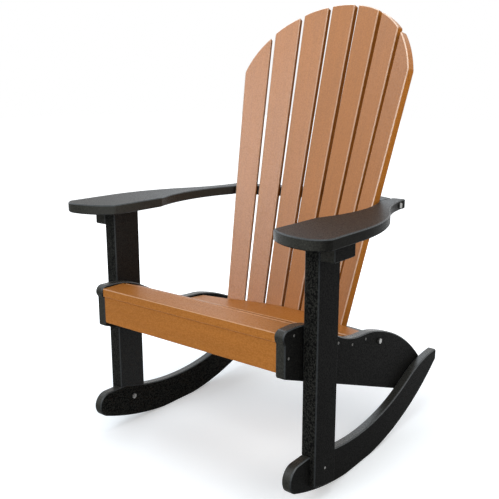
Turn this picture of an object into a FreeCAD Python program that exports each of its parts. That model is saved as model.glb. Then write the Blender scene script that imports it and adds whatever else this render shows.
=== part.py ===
import FreeCAD, Part
import Sketcher
import math
import os

# Rocking adirondack chair in plastic lumber, millimetres, +Z up, the sitter faces -Y.
# The pieces are laid out from the front face of the front legs, the floor and the middle plane.
# At the end every piece moves back by the same amount, which puts the origin under the middle of the chair.

doc = FreeCAD.newDocument("rocking_chair")
Vector = FreeCAD.Vector

# Driving dimensions.
DIMENSIONS = {
    # Lumber sections
    "board_thickness": 25.0,
    "rocker_thickness": 24.0,
    "slat_thickness": 22.0,
    "leg_thickness": 38.0,
    "leg_depth": 86.0,
    "edge_round": 2.5,
    # Frame
    "leg_inner_x": 299.0,
    "arm_top_z": 638.0,
    "seat_joint_gap": 0.3,
    # Rockers
    "rocker_low_y": 228.0,
    "rocker_radius": 760.0,
    "rocker_rest": 126.0,
    "rocker_nose_radius": 34.0,
    "rocker_nose_reach": 42.0,
    "rocker_waist": 83.0,
    "rocker_waist_y": 231.0,
    "rocker_tail_radius": 423.0,
    "rocker_tail_y": 677.0,
    "rocker_tip_width": 36.0,
    "rocker_tip_round": 7.0,
    "leg_lip_rise": 13.0,
    # Side rails
    "rail_face_reach": 68.0,
    "rail_bottom_z": 320.0,
    "rail_bottom_fall": 21.0,
    "rail_nose_radius": 16.5,
    "rail_nose_reach": 74.5,
    "rail_top_z": 427.5,
    "rail_crown_y": -35.0,
    "rail_crown_radius": 224.0,
    "rail_seat_slope": 28.0,
    "rail_slope_run": 80.0,
    "rail_dip_radius": 274.0,
    "rail_dip_slope": 3.0,
    "rail_dip_run": 25.0,
    "rail_hump_radius": 250.0,
    "rail_hump_slope": 12.4,
    "rail_tail_radius": 579.0,
    "rail_tail_rise": 20.0,
    "rail_tail_round": 10.0,
    # Arms
    "arm_inner_reach": 52.0,
    "arm_overhang": 28.0,
    "arm_corner_reach": 42.0,
    "arm_front_reach": 88.0,
    "arm_apex_inset": 46.0,
    "arm_outer_corner_reach": 58.0,
    "arm_scoop_start_y": 124.0,
    "arm_scoop_radius": 425.0,
    "arm_scoop_margin": 8.0,
    "arm_bulb_y": 72.0,
    "arm_bulb_radius": 480.0,
    "arm_bulb_angle": 29.7,
    "arm_tail_width": 38.0,
    "arm_tail_straight": 22.0,
    "arm_tail_overhang": 6.5,
    "arm_slat_clearance": 4.2,
    # Blocks under the arms
    "block_width": 37.0,
    "block_height": 41.0,
    # Seat
    "seat_inset": 6.0,
    "front_slat_reach": 70.0,
    "front_slat_width": 70.0,
    "seat_slat_width": 60.5,
    "seat_slat_gap": 6.5,
    "seat_curve_start": 44.3,
    "rear_board_tilt": 5.3,
    "rear_board_wing_drop": 20.0,
    "apron_recess": 2.5,
    "apron_height": 71.0,
    # Back
    "cone_centre_y": -5.0,
    "cone_low_z": 311.0,
    "cone_low_radius": 391.0,
    "recline": 16.27,
    "slat_low_width": 52.0,
    "slat_low_gap": 7.4,
    "slat_taper": 0.0259,
    "slat_fan_radius": 1904.0,
    "slat_fan_rise": 820.0,
    "slat_foot": 50.0,
    "slat_side_clearance": 8.0,
    "arch_inset": 3.5,
    "arch_top_rise": 886.5,
    "slat_front_clearance": 0.3,
    "slat_rear_clearance": 1.6,
    "blank_overlap": 6.0,
    # Braces behind the slats
    "brace_depth": 50.0,
    "low_brace_z": 286.5,
    "low_brace_tilt": 15.0,
    "low_brace_end": 45.0,
    # Fasteners
    "bolt_shank": 8.0,
    "bolt_head": 13.0,
    "bolt_head_height": 5.5,
    "spot_face_width": 18.0,
    "rocker_bolt_shank": 6.0,
    "nut_height": 5.0,
    "hole_clearance": 0.3,
    "hole_end_gap": 1.0,
    "spot_face_depth": 5.0,
    "stud_end": 2.5,
    "bolt_edge": 11.0,
    "leg_bolt_inset": 26.0,
    "leg_bolt_drop": 32.0,
    "leg_bolt_rise": 47.0,
    "leg_bolt_length": 55.0,
    "rocker_bolt_length": 46.0,
    "brace_bolt_length": 75.0,
    "arm_bolt_length": 80.0,
    "front_tail_bolt_y": 500.0,
    "rear_tail_bolt_y": 585.0,
    "arm_bolt_setback": 35.0,
}
SEAT_SLATS = 4
BACK_SLATS = 7

sizes = doc.addObject("Spreadsheet::Sheet", "Sizes")
places = doc.addObject("Spreadsheet::Sheet", "Places")
for row, (name, value) in enumerate(DIMENSIONS.items(), start=1):
    sizes.set(f"A{row}", name)
    sizes.set(f"B{row}", str(value))
    sizes.setAlias(f"B{row}", name)
doc.recompute()


class Size:
    """A number together with the sheet expression that gives it."""

    def __init__(self, number, formula):
        self.number = float(number)
        self.formula = formula

    def __add__(self, other):
        other = as_size(other)
        return Size(self.number + other.number, f"({self.formula} + {other.formula})")

    def __radd__(self, other):
        return as_size(other) + self

    def __sub__(self, other):
        other = as_size(other)
        return Size(self.number - other.number, f"({self.formula} - {other.formula})")

    def __rsub__(self, other):
        return as_size(other) - self

    def __mul__(self, other):
        other = as_size(other)
        return Size(self.number * other.number, f"({self.formula} * {other.formula})")

    def __rmul__(self, other):
        return as_size(other) * self

    def __truediv__(self, other):
        other = as_size(other)
        return Size(self.number / other.number, f"({self.formula} / {other.formula})")

    def __neg__(self):
        return Size(-self.number, f"(0 - {self.formula})")


def as_size(value):
    if isinstance(value, Size):
        return value
    number = float(value)
    if number < 0:
        return Size(number, f"(0 - {-number!r})")
    return Size(number, repr(number))


def size(name):
    return Size(DIMENSIONS[name], "Sizes." + name)


def root(value):
    return Size(math.sqrt(value.number), f"sqrt({value.formula})")


def sine(angle):
    return Size(math.sin(math.radians(angle.number)), f"sin({angle.formula} * 1 deg)")


def cosine(angle):
    return Size(math.cos(math.radians(angle.number)), f"cos({angle.formula} * 1 deg)")


def tangent(angle):
    return sine(angle) / cosine(angle)


def arc_sine(value):
    return Size(math.degrees(math.asin(value.number)), f"(asin({value.formula}) / 1 deg)")


def arc_tangent(rise, run):
    number = math.degrees(math.atan2(rise.number, run.number))
    return Size(number, f"(atan2({rise.formula}; {run.formula}) / 1 deg)")


def keep(name, value):
    """Store a worked-out size in the second sheet under a name of its own."""
    keep.row += 1
    places.set(f"A{keep.row}", name)
    places.set(f"B{keep.row}", "=" + value.formula)
    places.setAlias(f"B{keep.row}", name)
    return Size(value.number, "Places." + name)


keep.row = 0
SMOOTH_ANGLE = 3
DEGREES = as_size(180 / math.pi)
RIGHT_ANGLE = as_size(90)


class Circle:
    """A circle in the side view or the plan, kept as centre and radius."""

    def __init__(self, name, across, up, radius):
        self.across = keep(name + "_across", across)
        self.up = keep(name + "_up", up)
        self.radius = keep(name + "_radius", radius)

    def below(self, across, rise=0):
        """Height of the lower half at a place, on the circle that lies further in by the rise."""
        reach = self.radius - rise
        aside = across - self.across
        return self.up - root(reach * reach - aside * aside)

    def above(self, across, rise=0):
        reach = self.radius - rise
        aside = across - self.across
        return self.up + root(reach * reach - aside * aside)

    def toward(self, across, up, distance):
        """The point of this circle on the ray from its centre through a point at a known distance."""
        share = self.radius / distance
        return self.across + (across - self.across) * share, self.up + (up - self.up) * share


def meet(first, first_radius, second, second_radius):
    """The point where two circles cross, on the right of the way from the first centre to the second."""
    across = second.across - first.across
    up = second.up - first.up
    apart = across * across + up * up
    share = (first_radius * first_radius - second_radius * second_radius + apart) / (apart * 2)
    aside = root(first_radius * first_radius / apart - share * share)
    return first.across + across * share + up * aside, first.up + up * share - across * aside


class Route:
    """A line of tangent arcs and straight runs in the side view, read by the length along it."""

    def __init__(self, across, up, slope):
        self.across = across
        self.up = up
        self.slope = slope
        self.pieces = []
        self.corners = []

    def turn(self, name, radius, slope):
        """Bend to a new slope in degrees."""
        way = 1 if slope.number > self.slope.number else -1
        length = keep(name + "_length", radius * way * (slope - self.slope) / DEGREES)
        self.pieces.append((self.across, self.up, self.slope, radius, way, length))
        across = self.across + radius * way * (sine(slope) - sine(self.slope))
        up = self.up + radius * way * (cosine(self.slope) - cosine(slope))
        self.across = keep(name + "_end_across", across)
        self.up = keep(name + "_end_up", up)
        self.slope = slope
        self.corners.append((self.across, self.up, radius, way))

    def run(self, name, level_length):
        """Go straight on for a length measured level."""
        length = keep(name + "_length", level_length / cosine(self.slope))
        self.pieces.append((self.across, self.up, self.slope, None, 0, length))
        self.across = keep(name + "_end_across", self.across + level_length)
        self.up = keep(name + "_end_up", self.up + level_length * tangent(self.slope))
        self.corners.append((self.across, self.up, None, 0))

    def at(self, distance):
        """Place and slope at a distance along the line."""
        left = distance
        for piece in self.pieces:
            if left.number <= piece[-1].number or piece is self.pieces[-1]:
                break
            left = left - piece[-1]
        across, up, slope, radius, way, _ = piece
        if radius is None:
            return across + left * cosine(slope), up + left * sine(slope), slope
        new_slope = slope + way * left / radius * DEGREES
        across = across + radius * way * (sine(new_slope) - sine(slope))
        up = up + radius * way * (cosine(slope) - cosine(new_slope))
        return across, up, new_slope


def bind(item, path, value):
    item.setExpression(path, value.formula)


nodes = []


def new_body(label):
    """A body that ends up moved back with the whole chair."""
    body = doc.addObject("PartDesign::Body", label)
    body.Label = label
    bind(body, "Placement.Base.y", -MIDDLE_Y)
    nodes.append(body)
    return body


def place(item, across, along, up, turns):
    """Bind a whole placement, with the chair's shift, and with turns written as expression text."""
    along = along - MIDDLE_Y
    spot = f"vector({across.formula}; {along.formula}; {up.formula})"
    item.setExpression("Placement", f"placement({spot}; {turns})")


def turn_about(axis, angle):
    return f"rotation{axis}({angle.formula})"


def sketch_on(body, role, level):
    """A sketch on one of the body's own origin planes, moved to a level along its normal."""
    sketch = body.newObject("Sketcher::SketchObject", "Sketch")
    planes = [item for item in body.Origin.OriginFeatures if item.Role == role]
    sketch.AttachmentSupport = (planes[0], [""])
    sketch.MapMode = "FlatFace"
    bind(sketch, "AttachmentOffset.Base.z", as_size(level))
    return sketch


class Outline:
    """A closed sketch of lines and arcs, each corner held by its distances from the sketch's origin."""

    def __init__(self, sketch, across, up):
        self.sketch = sketch
        self.corners = [(as_size(across), as_size(up))]
        self.arcs = []

    def line(self, across, up):
        self.corners.append((as_size(across), as_size(up)))
        self.arcs.append(None)
        return self

    def arc(self, across, up, radius, way):
        """An arc of less than half a circle, counterclockwise where the way is 1 and else clockwise."""
        self.corners.append((as_size(across), as_size(up)))
        self.arcs.append((as_size(radius), way))
        return self

    def close(self, radius=None, way=0):
        self.arcs.append(None if radius is None else (as_size(radius), way))
        count = len(self.corners)
        starts = []
        ends = []
        for index, (corner, bend) in enumerate(zip(self.corners, self.arcs)):
            here = Vector(corner[0].number, corner[1].number, 0)
            following = self.corners[(index + 1) % count]
            there = Vector(following[0].number, following[1].number, 0)
            if bend is None:
                edge = Part.LineSegment(here, there)
            else:
                edge = sketch_arc(here, there, bend[0].number, bend[1])
            forward = bend is None or bend[1] > 0
            starts.append(1 if forward else 2)
            ends.append(2 if forward else 1)
            self.sketch.addGeometry(edge, False)
        for index in range(count):
            following = (index + 1) % count
            pair = (index, ends[index], following, starts[following])
            self.sketch.addConstraint(Sketcher.Constraint("Coincident", *pair))
        for index, (across, up) in enumerate(self.corners):
            pin(self.sketch, index, starts[index], across, up)
        for index, bend in enumerate(self.arcs):
            if bend is not None:
                limit(self.sketch, "Radius", (index,), bend[0])
        return self.sketch


def sketch_arc(here, there, radius, way):
    chord = there - here
    middle = (here + there) / 2
    left = Vector(-chord.y, chord.x, 0).normalize()
    centre = middle + left * (way * math.sqrt(radius**2 - chord.Length**2 / 4))
    first, last = (here, there) if way > 0 else (there, here)
    start_angle = math.atan2(first.y - centre.y, first.x - centre.x)
    end_angle = math.atan2(last.y - centre.y, last.x - centre.x)
    return Part.ArcOfCircle(Part.Circle(centre, Vector(0, 0, 1), radius), start_angle, end_angle)


def limit(sketch, kind, where, value):
    """Add one dimension to a sketch and bind it."""
    index = sketch.addConstraint(Sketcher.Constraint(kind, *where, value.number))
    bind(sketch, f"Constraints[{index}]", value)


def pin(sketch, geometry, vertex, across, up):
    """Hold a point at its distances from the sketch's origin, or on an axis where a distance is nothing."""
    for kind, axis, value in (("DistanceX", -2, across), ("DistanceY", -1, up)):
        if value.formula == "0.0":
            sketch.addConstraint(Sketcher.Constraint("PointOnObject", geometry, vertex, axis))
        else:
            limit(sketch, kind, (-1, 1, geometry, vertex), value)


def pad(body, sketch, length, backward=False, both=False):
    feature = body.newObject("PartDesign::Pad", "Pad")
    feature.Profile = sketch
    bind(feature, "Length", as_size(length))
    feature.Reversed = backward
    if both:
        feature.SideType = "Symmetric"
    doc.recompute()
    return feature


def pocket(body, sketch, depth, forward):
    """Cut along the sketch's normal where forward is true, and else against it."""
    before = body.Shape.Volume
    feature = body.newObject("PartDesign::Pocket", "Pocket")
    feature.Profile = sketch
    bind(feature, "Length", as_size(depth))
    feature.Reversed = forward
    doc.recompute()
    assert body.Shape.Volume < before, body.Label
    return feature


def drill(body, holes, level, depth, forward):
    """Bolt holes along X, given as place across, height and bolt diameter."""
    sketch = sketch_on(body, "YZ_Plane", level)
    for index, (across, up, diameter) in enumerate(holes):
        radius = diameter / 2 + size("hole_clearance")
        centre = Vector(across.number, up.number, 0)
        sketch.addGeometry(Part.Circle(centre, Vector(0, 0, 1), radius.number), False)
        pin(sketch, index, 3, across, up)
        limit(sketch, "Radius", (index,), radius)
    return pocket(body, sketch, depth, forward)


def edges_in_plane(shape, point, normal):
    """Names of the edges that lie wholly in a plane."""
    names = []
    for index, edge in enumerate(shape.Edges, start=1):
        spots = [edge.valueAt(edge.FirstParameter + (edge.LastParameter - edge.FirstParameter) * share)
                 for share in (0, 0.5, 1)]
        if all(abs((spot - point).dot(normal)) < 1e-4 for spot in spots):
            names.append(f"Edge{index}")
    return names


def round_edges(body, feature, names):
    rounded = body.newObject("PartDesign::Fillet", "Rounding")
    rounded.Base = (feature, names)
    bind(rounded, "Radius", size("edge_round"))
    doc.recompute()
    return rounded


def ease_edges(body, feature, names):
    """Break the edges of a sawn board by a narrow chamfer."""
    eased = body.newObject("PartDesign::Chamfer", "Easing")
    eased.Base = (feature, names)
    bind(eased, "Size", size("edge_round"))
    doc.recompute()
    return eased


def corner_edges(shape, axis):
    """Names of the edges along an axis where two faces meet at a real corner."""
    names = []
    for index, edge in enumerate(shape.Edges, start=1):
        run = edge.valueAt(edge.LastParameter) - edge.valueAt(edge.FirstParameter)
        if run.cross(axis).Length > 1e-4:
            continue
        middle = edge.CenterOfMass
        normals = []
        for face in shape.ancestorsOfType(edge, Part.Face):
            normals.append(face.normalAt(*face.Surface.parameter(middle)))
        if math.degrees(normals[0].getAngle(normals[1])) > SMOOTH_ANGLE:
            names.append(f"Edge{index}")
    return names


def rim_edges(feature, axis, levels, start=Vector()):
    """Names of the edges round the two faces that are square to an axis, and of the corners between them."""
    names = corner_edges(feature.Shape, axis)
    for level in levels:
        names += edges_in_plane(feature.Shape, start + axis * level.number, axis)
    return names


# Places that several pieces share.
SIDES = (("left", -1), ("right", 1))
X_AXIS = Vector(1, 0, 0)
Y_AXIS = Vector(0, 1, 0)
Z_AXIS = Vector(0, 0, 1)
NOTHING = as_size(0)
CUT_MARGIN = as_size(10)

MIDDLE_Y = keep("middle_y", (size("rocker_tail_y") - size("arm_front_reach")) / 2)
LEG_INNER = size("leg_inner_x")
LEG_OUTER = keep("leg_outer_x", LEG_INNER + size("leg_thickness"))
RAIL_INNER = keep("rail_inner_x", LEG_INNER - size("board_thickness"))
ARM_UNDER = keep("arm_under_z", size("arm_top_z") - size("board_thickness"))
CONE_Y = size("cone_centre_y")


def sided(value, sign):
    return value if sign > 0 else -value


def circle_reach(radius, other):
    return root(radius * radius - other * other)


# The rocker's outline: one great arc with a short flat to rest on, a round nose, a hollow top and a
# swelling tail.
rest_half = size("rocker_rest") / 2
low_up = circle_reach(size("rocker_radius"), rest_half)
low_arc = Circle("rocker_low", size("rocker_low_y"), low_up, size("rocker_radius"))
low_reach = low_arc.across + size("rocker_nose_reach")
nose_up = low_arc.up - circle_reach(low_arc.radius - size("rocker_nose_radius"), low_reach)
nose_arc = Circle("rocker_nose", -size("rocker_nose_reach"), nose_up, size("rocker_nose_radius"))
tail_across = size("rocker_tail_y") - size("rocker_tip_round")
tail_up = low_arc.below(tail_across) + size("rocker_tip_width") - size("rocker_tail_radius")
tail_arc = Circle("rocker_tail", tail_across, tail_up, size("rocker_tail_radius"))
nose_top = keep("rocker_nose_top", nose_arc.up + nose_arc.radius)

# The hollow is the arc that is lowest at the waist and runs into the tail's arc without a corner.
tail_aside = tail_arc.across - size("rocker_waist_y")
tail_drop = size("rocker_waist") - tail_arc.up
waist_square = tail_aside * tail_aside + tail_drop * tail_drop - tail_arc.radius * tail_arc.radius
waist_radius = keep("waist_radius", waist_square / ((tail_arc.radius - tail_drop) * 2))
waist_arc = Circle("rocker_waist", size("rocker_waist_y"), size("rocker_waist") + waist_radius, waist_radius)
tail_reach = waist_arc.radius + tail_arc.radius


def flat_end(height, gap):
    """Where a level line meets the hollow top of the rocker, or a line that lies above it by a gap."""
    return waist_arc.across - circle_reach(waist_arc.radius - gap, waist_arc.up - height)


def rocker_outline(sketch):
    tip = size("rocker_tip_round")
    outline = Outline(sketch, *low_arc.toward(nose_arc.across, nose_arc.up, low_arc.radius - nose_arc.radius))
    outline.arc(nose_arc.across, nose_top, nose_arc.radius, -1)
    outline.line(flat_end(nose_top, NOTHING), nose_top)
    outline.arc(*waist_arc.toward(tail_arc.across, tail_arc.up, tail_reach), waist_arc.radius, 1)
    tip_top = tail_arc.up + tail_arc.radius
    outline.arc(tail_arc.across, tip_top, tail_arc.radius, -1)
    outline.arc(size("rocker_tail_y"), tip_top - tip, tip, -1)
    tip_low = low_arc.below(tail_arc.across, tip)
    outline.line(size("rocker_tail_y"), tip_low)
    outline.arc(*low_arc.toward(tail_arc.across, tip_low, low_arc.radius - tip), tip, -1)
    outline.arc(low_arc.across + rest_half, NOTHING, low_arc.radius, -1)
    outline.line(low_arc.across - rest_half, NOTHING)
    return outline.close(low_arc.radius, -1)


# The seat line is the top edge of the side rails from the crown behind the nose to the rear hump.
seat_line = Route(size("rail_crown_y"), size("rail_top_z"), NOTHING)
seat_line.turn("crown", size("rail_crown_radius"), -size("rail_seat_slope"))
seat_line.run("seat_run", size("rail_slope_run"))
seat_line.turn("dip", size("rail_dip_radius"), -size("rail_dip_slope"))
seat_line.run("dip_run", size("rail_dip_run"))
seat_line.turn("hump", size("rail_hump_radius"), -size("rail_hump_slope"))

hump_end = seat_line.slope
rail_tail_across = seat_line.across + size("rail_tail_radius") * sine(hump_end)
rail_tail_up = seat_line.up - size("rail_tail_radius") * cosine(hump_end)
rail_tail_arc = Circle("rail_tail", rail_tail_across, rail_tail_up, size("rail_tail_radius"))
rail_low_arc = Circle("rail_low", low_arc.across, low_arc.up, low_arc.radius - size("rail_tail_rise"))


def rail_bottom(across):
    """Height of the rail's straight lower edge."""
    return size("rail_bottom_z") - (across + size("rail_face_reach")) * tangent(size("rail_bottom_fall"))


def rail_bottom_end():
    """Where the straight lower edge meets the arc that follows the rocker."""
    fall = size("rail_bottom_fall")
    across = -size("rail_face_reach") - rail_low_arc.across
    up = size("rail_bottom_z") - rail_low_arc.up
    along = across * cosine(fall) - up * sine(fall)
    apart = across * across + up * up - rail_low_arc.radius * rail_low_arc.radius
    length = root(along * along - apart) - along
    return length * cosine(fall) - size("rail_face_reach"), size("rail_bottom_z") - length * sine(fall)


def rail_outline(sketch):
    face = -size("rail_face_reach")
    nose = size("rail_nose_radius")
    nose_across = nose - size("rail_nose_reach")
    outline = Outline(sketch, face, size("rail_bottom_z"))
    outline.line(face, size("rail_top_z") - nose - circle_reach(nose, face - nose_across))
    outline.arc(nose_across, size("rail_top_z"), nose, -1)
    outline.line(size("rail_crown_y"), size("rail_top_z"))
    for across, up, radius, way in seat_line.corners:
        if radius is None:
            outline.line(across, up)
        else:
            outline.arc(across, up, radius, way)
    corner = size("rail_tail_round")
    upper_reach = rail_tail_arc.radius - corner
    lower_reach = rail_low_arc.radius - corner
    round_across, round_up = meet(rail_tail_arc, upper_reach, rail_low_arc, lower_reach)
    outline.arc(*rail_tail_arc.toward(round_across, round_up, upper_reach), rail_tail_arc.radius, -1)
    outline.arc(*rail_low_arc.toward(round_across, round_up, lower_reach), corner, -1)
    outline.arc(*rail_bottom_end(), rail_low_arc.radius, -1)
    return outline.close()


# The slats of the back stand on an upright cone and fan out from a point far below.
recline = size("recline")
slat_pitch = keep("slat_pitch", size("slat_low_width") + size("slat_low_gap"))
fan_pitch = keep("fan_pitch", slat_pitch * (size("slat_fan_rise") / size("slat_fan_radius") + 1))
fan_top_radius = keep("fan_top_radius", size("cone_low_radius") + size("slat_fan_rise") * sine(recline))
low_step = keep("low_step_angle", slat_pitch / size("cone_low_radius") * DEGREES)
fan_step = keep("fan_step_angle", fan_pitch / fan_top_radius * DEGREES)
arch_step = keep("arch_step_angle", arc_sine(slat_pitch / size("slat_fan_radius")))
END_SLAT = (BACK_SLATS - 1) / 2
slat_span = slat_pitch * END_SLAT + size("slat_low_width") / 2 + size("slat_side_clearance")
slat_sector = keep("slat_sector_angle", slat_span / size("cone_low_radius") * DEGREES)


def cone_radius(height):
    """Radius of the cone that the slats' front faces touch."""
    return size("cone_low_radius") + (height - size("cone_low_z")) * tangent(recline)


def rear_radius(height):
    """Radius of the cone just behind the slats, with clearance."""
    return cone_radius(height) + size("slat_thickness") / cosine(recline) + size("slat_rear_clearance")


def half_slat(rise):
    return size("slat_low_width") / 2 + rise * size("slat_taper") / 2


# All slats end on one arch over the whole back.
arch_radius = fan_pitch * END_SLAT + half_slat(size("slat_fan_rise")) - size("arch_inset")
arch_radius = keep("arch_radius", arch_radius)
arch_centre = keep("arch_centre", size("arch_top_rise") - arch_radius)


def slat_angles(step):
    """Angles about the upright axis of a slat's low point and of its point at the fan rise."""
    return low_step * step, fan_step * step


# The arms' tails stand just outside the outermost slats and hold the ends of the upper brace.
low_turn, top_turn = slat_angles(END_SLAT)
arm_share = (size("arm_top_z") - size("cone_low_z")) / cosine(recline) / size("slat_fan_rise")
low_side = size("cone_low_radius") * sine(low_turn)
end_slat_x = low_side + (fan_top_radius * sine(top_turn) - low_side) * arm_share
mean_turn = (low_turn + top_turn) / 2
end_slat_reach = size("slat_thickness") / cosine(recline) * sine(mean_turn)
end_slat_half = half_slat(arm_share * size("slat_fan_rise")) * cosine(mean_turn)
TAIL_INNER = keep("tail_inner_x", end_slat_x + end_slat_reach + end_slat_half + size("arm_slat_clearance"))
TAIL_OUTER = keep("tail_outer_x", TAIL_INNER + size("arm_tail_width"))
brace_front = keep("brace_front_radius", rear_radius(ARM_UNDER))
brace_back = keep("brace_back_radius", rear_radius(size("arm_top_z")) + size("brace_depth"))
scoop_end = CONE_Y + circle_reach(brace_front, TAIL_INNER) - size("arm_scoop_margin")
TAIL_Y = keep("tail_end_y", CONE_Y + circle_reach(brace_back, TAIL_INNER) + size("arm_tail_overhang"))

# The curve from an arm's tail meets the bulb without a corner, whichever way it has to bend for that.
ARM_OUTER = keep("arm_outer_x", LEG_OUTER + size("block_width") + size("arm_overhang"))
bulb_angle = size("arm_bulb_angle")
join_across = keep("arm_join_across", ARM_OUTER - size("arm_bulb_radius") * (1 - cosine(bulb_angle)))
join_along = keep("arm_join_along", size("arm_bulb_y") + size("arm_bulb_radius") * sine(bulb_angle))
tail_start = keep("arm_tail_start", TAIL_Y - size("arm_tail_straight"))
bend_across = TAIL_OUTER - join_across
bend_along = tail_start - join_along
bend_aside = bend_across * cosine(bulb_angle) + bend_along * sine(bulb_angle)
arm_bend = keep("arm_bend", (bend_across * bend_across + bend_along * bend_along) / (bend_aside * 2))

# The lower brace follows the back of the slats and runs out to the rails.
low_brace_front = keep("low_brace_front_radius", rear_radius(size("low_brace_z")))
LOW_BRACE_Y = keep("low_brace_bolt_y", CONE_Y + low_brace_front * cosine(slat_sector) + size("bolt_edge"))

# Bolt places as distance from the front of the legs and height.
leg_bolt_spots = []
for spot_across in (size("leg_bolt_inset"), size("leg_depth") - size("leg_bolt_inset")):
    leg_bolt_spots.append((spot_across, rail_bottom(spot_across) + size("leg_bolt_rise")))
front_tail_y = size("front_tail_bolt_y")
rear_tail_y = size("rear_tail_bolt_y")
rocker_bolt_spots = [
    (front_tail_y, (rail_bottom(front_tail_y) + waist_arc.below(front_tail_y)) / 2),
    (rear_tail_y, (rail_low_arc.below(rear_tail_y) + tail_arc.above(rear_tail_y)) / 2),
]
leg_middle = size("leg_depth") / 2
LEG_SPOT = (leg_middle, waist_arc.below(leg_middle) - size("leg_bolt_drop"))
BRACE_SPOT = (LOW_BRACE_Y, size("low_brace_z"))
ARM_SPOT = (TAIL_Y - size("arm_bolt_setback"), ARM_UNDER + size("board_thickness") / 2)

# Boards of the seat as distance from the front, height and slope of the middle of the top face.
slat_thick = size("slat_thickness")
front_top = size("rail_top_z") - size("seat_inset")
seat_spots = []
for number in range(SEAT_SLATS):
    slat_middle = size("seat_slat_width") * (number + 0.5) + size("seat_slat_gap") * number
    along, up, slope = seat_line.at(size("seat_curve_start") + slat_middle)
    slope = keep(f"seat_slope_{number}", slope)
    along = keep(f"seat_along_{number}", along + size("seat_inset") * sine(slope))
    up = keep(f"seat_up_{number}", up - size("seat_inset") * cosine(slope))
    seat_spots.append((along, up, slope))
board_start = size("seat_curve_start") + (size("seat_slat_width") + size("seat_slat_gap")) * SEAT_SLATS
board_along, board_up, _ = seat_line.at(board_start)
board_along = keep("rear_board_along", board_along)
board_up = keep("rear_board_up", board_up - size("seat_inset"))
board_tilt = size("rear_board_tilt")
corner_radius = size("cone_low_radius") + size("blank_overlap")
corner_across = keep("rear_board_corner_across", corner_radius * sine(slat_sector))
corner_along = CONE_Y + corner_radius * cosine(slat_sector)
corner_fall = keep("rear_board_corner_fall", (corner_along - board_along) / cosine(board_tilt))


def arch_top(step, edge):
    """The point where a slat's edge, on the side that edge names, meets the arch over the whole back."""
    reach = size("slat_fan_radius") + arch_centre
    turn = arch_step * step
    centre_across = -reach * sine(turn)
    centre_up = reach * cosine(turn) - size("slat_fan_radius")
    start = size("slat_low_width") / 2 * edge - centre_across
    lean = size("slat_taper") / 2 * edge
    square = lean * lean + 1
    half = centre_up - lean * start
    rest = start * start + centre_up * centre_up - arch_radius * arch_radius
    return (half + root(half * half - square * rest)) / square


# Slats of the back as the heights of their two top corners, their low point and their three turns.
back_slats = []
for number in range(BACK_SLATS):
    step = number - END_SLAT
    left_rise = keep(f"slat_{number}_left_rise", arch_top(step, -1))
    right_rise = keep(f"slat_{number}_right_rise", arch_top(step, 1))
    low_turn, top_turn = slat_angles(step)
    across = keep(f"slat_{number}_across", size("cone_low_radius") * sine(low_turn))
    along = keep(f"slat_{number}_along", CONE_Y + size("cone_low_radius") * cosine(low_turn))
    twist = (low_turn - top_turn) / 2
    side_reach = -(fan_top_radius + size("cone_low_radius")) * sine(twist)
    back_reach = (fan_top_radius - size("cone_low_radius")) * cosine(twist)
    up_reach = size("slat_fan_rise") * cosine(recline)
    facing = keep(f"slat_{number}_facing", (low_turn + top_turn) / 2)
    lean = keep(f"slat_{number}_lean", arc_tangent(back_reach, up_reach))
    fan = keep(f"slat_{number}_fan", arc_tangent(side_reach, circle_reach(size("slat_fan_rise"), side_reach)))
    back_slats.append((left_rise, right_rise, across, along, facing, lean, fan))


def sized(spots, diameter):
    return [(across, up, size(diameter)) for across, up in spots]


def bolt_depth(length, passed):
    """Depth of the hole that a bolt needs beyond the board that it passes."""
    return size(length) - passed + size("hole_end_gap")


# Rockers
for side, sign in SIDES:
    rocker = new_body(f"rocker_{side}")
    inner = sided(LEG_INNER, sign)
    outer = sided(LEG_INNER + size("rocker_thickness"), sign)
    sketch = rocker_outline(sketch_on(rocker, "YZ_Plane", inner))
    solid = pad(rocker, sketch, size("rocker_thickness"), backward=sign < 0)
    ease_edges(rocker, solid, rim_edges(solid, X_AXIS, (inner, outer)))
    drill(rocker, sized([LEG_SPOT], "rocker_bolt_shank"), inner, size("rocker_thickness"), sign > 0)
    rail_depth = bolt_depth("rocker_bolt_length", size("board_thickness"))
    drill(rocker, sized(rocker_bolt_spots, "bolt_shank"), inner, rail_depth, sign > 0)

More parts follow.
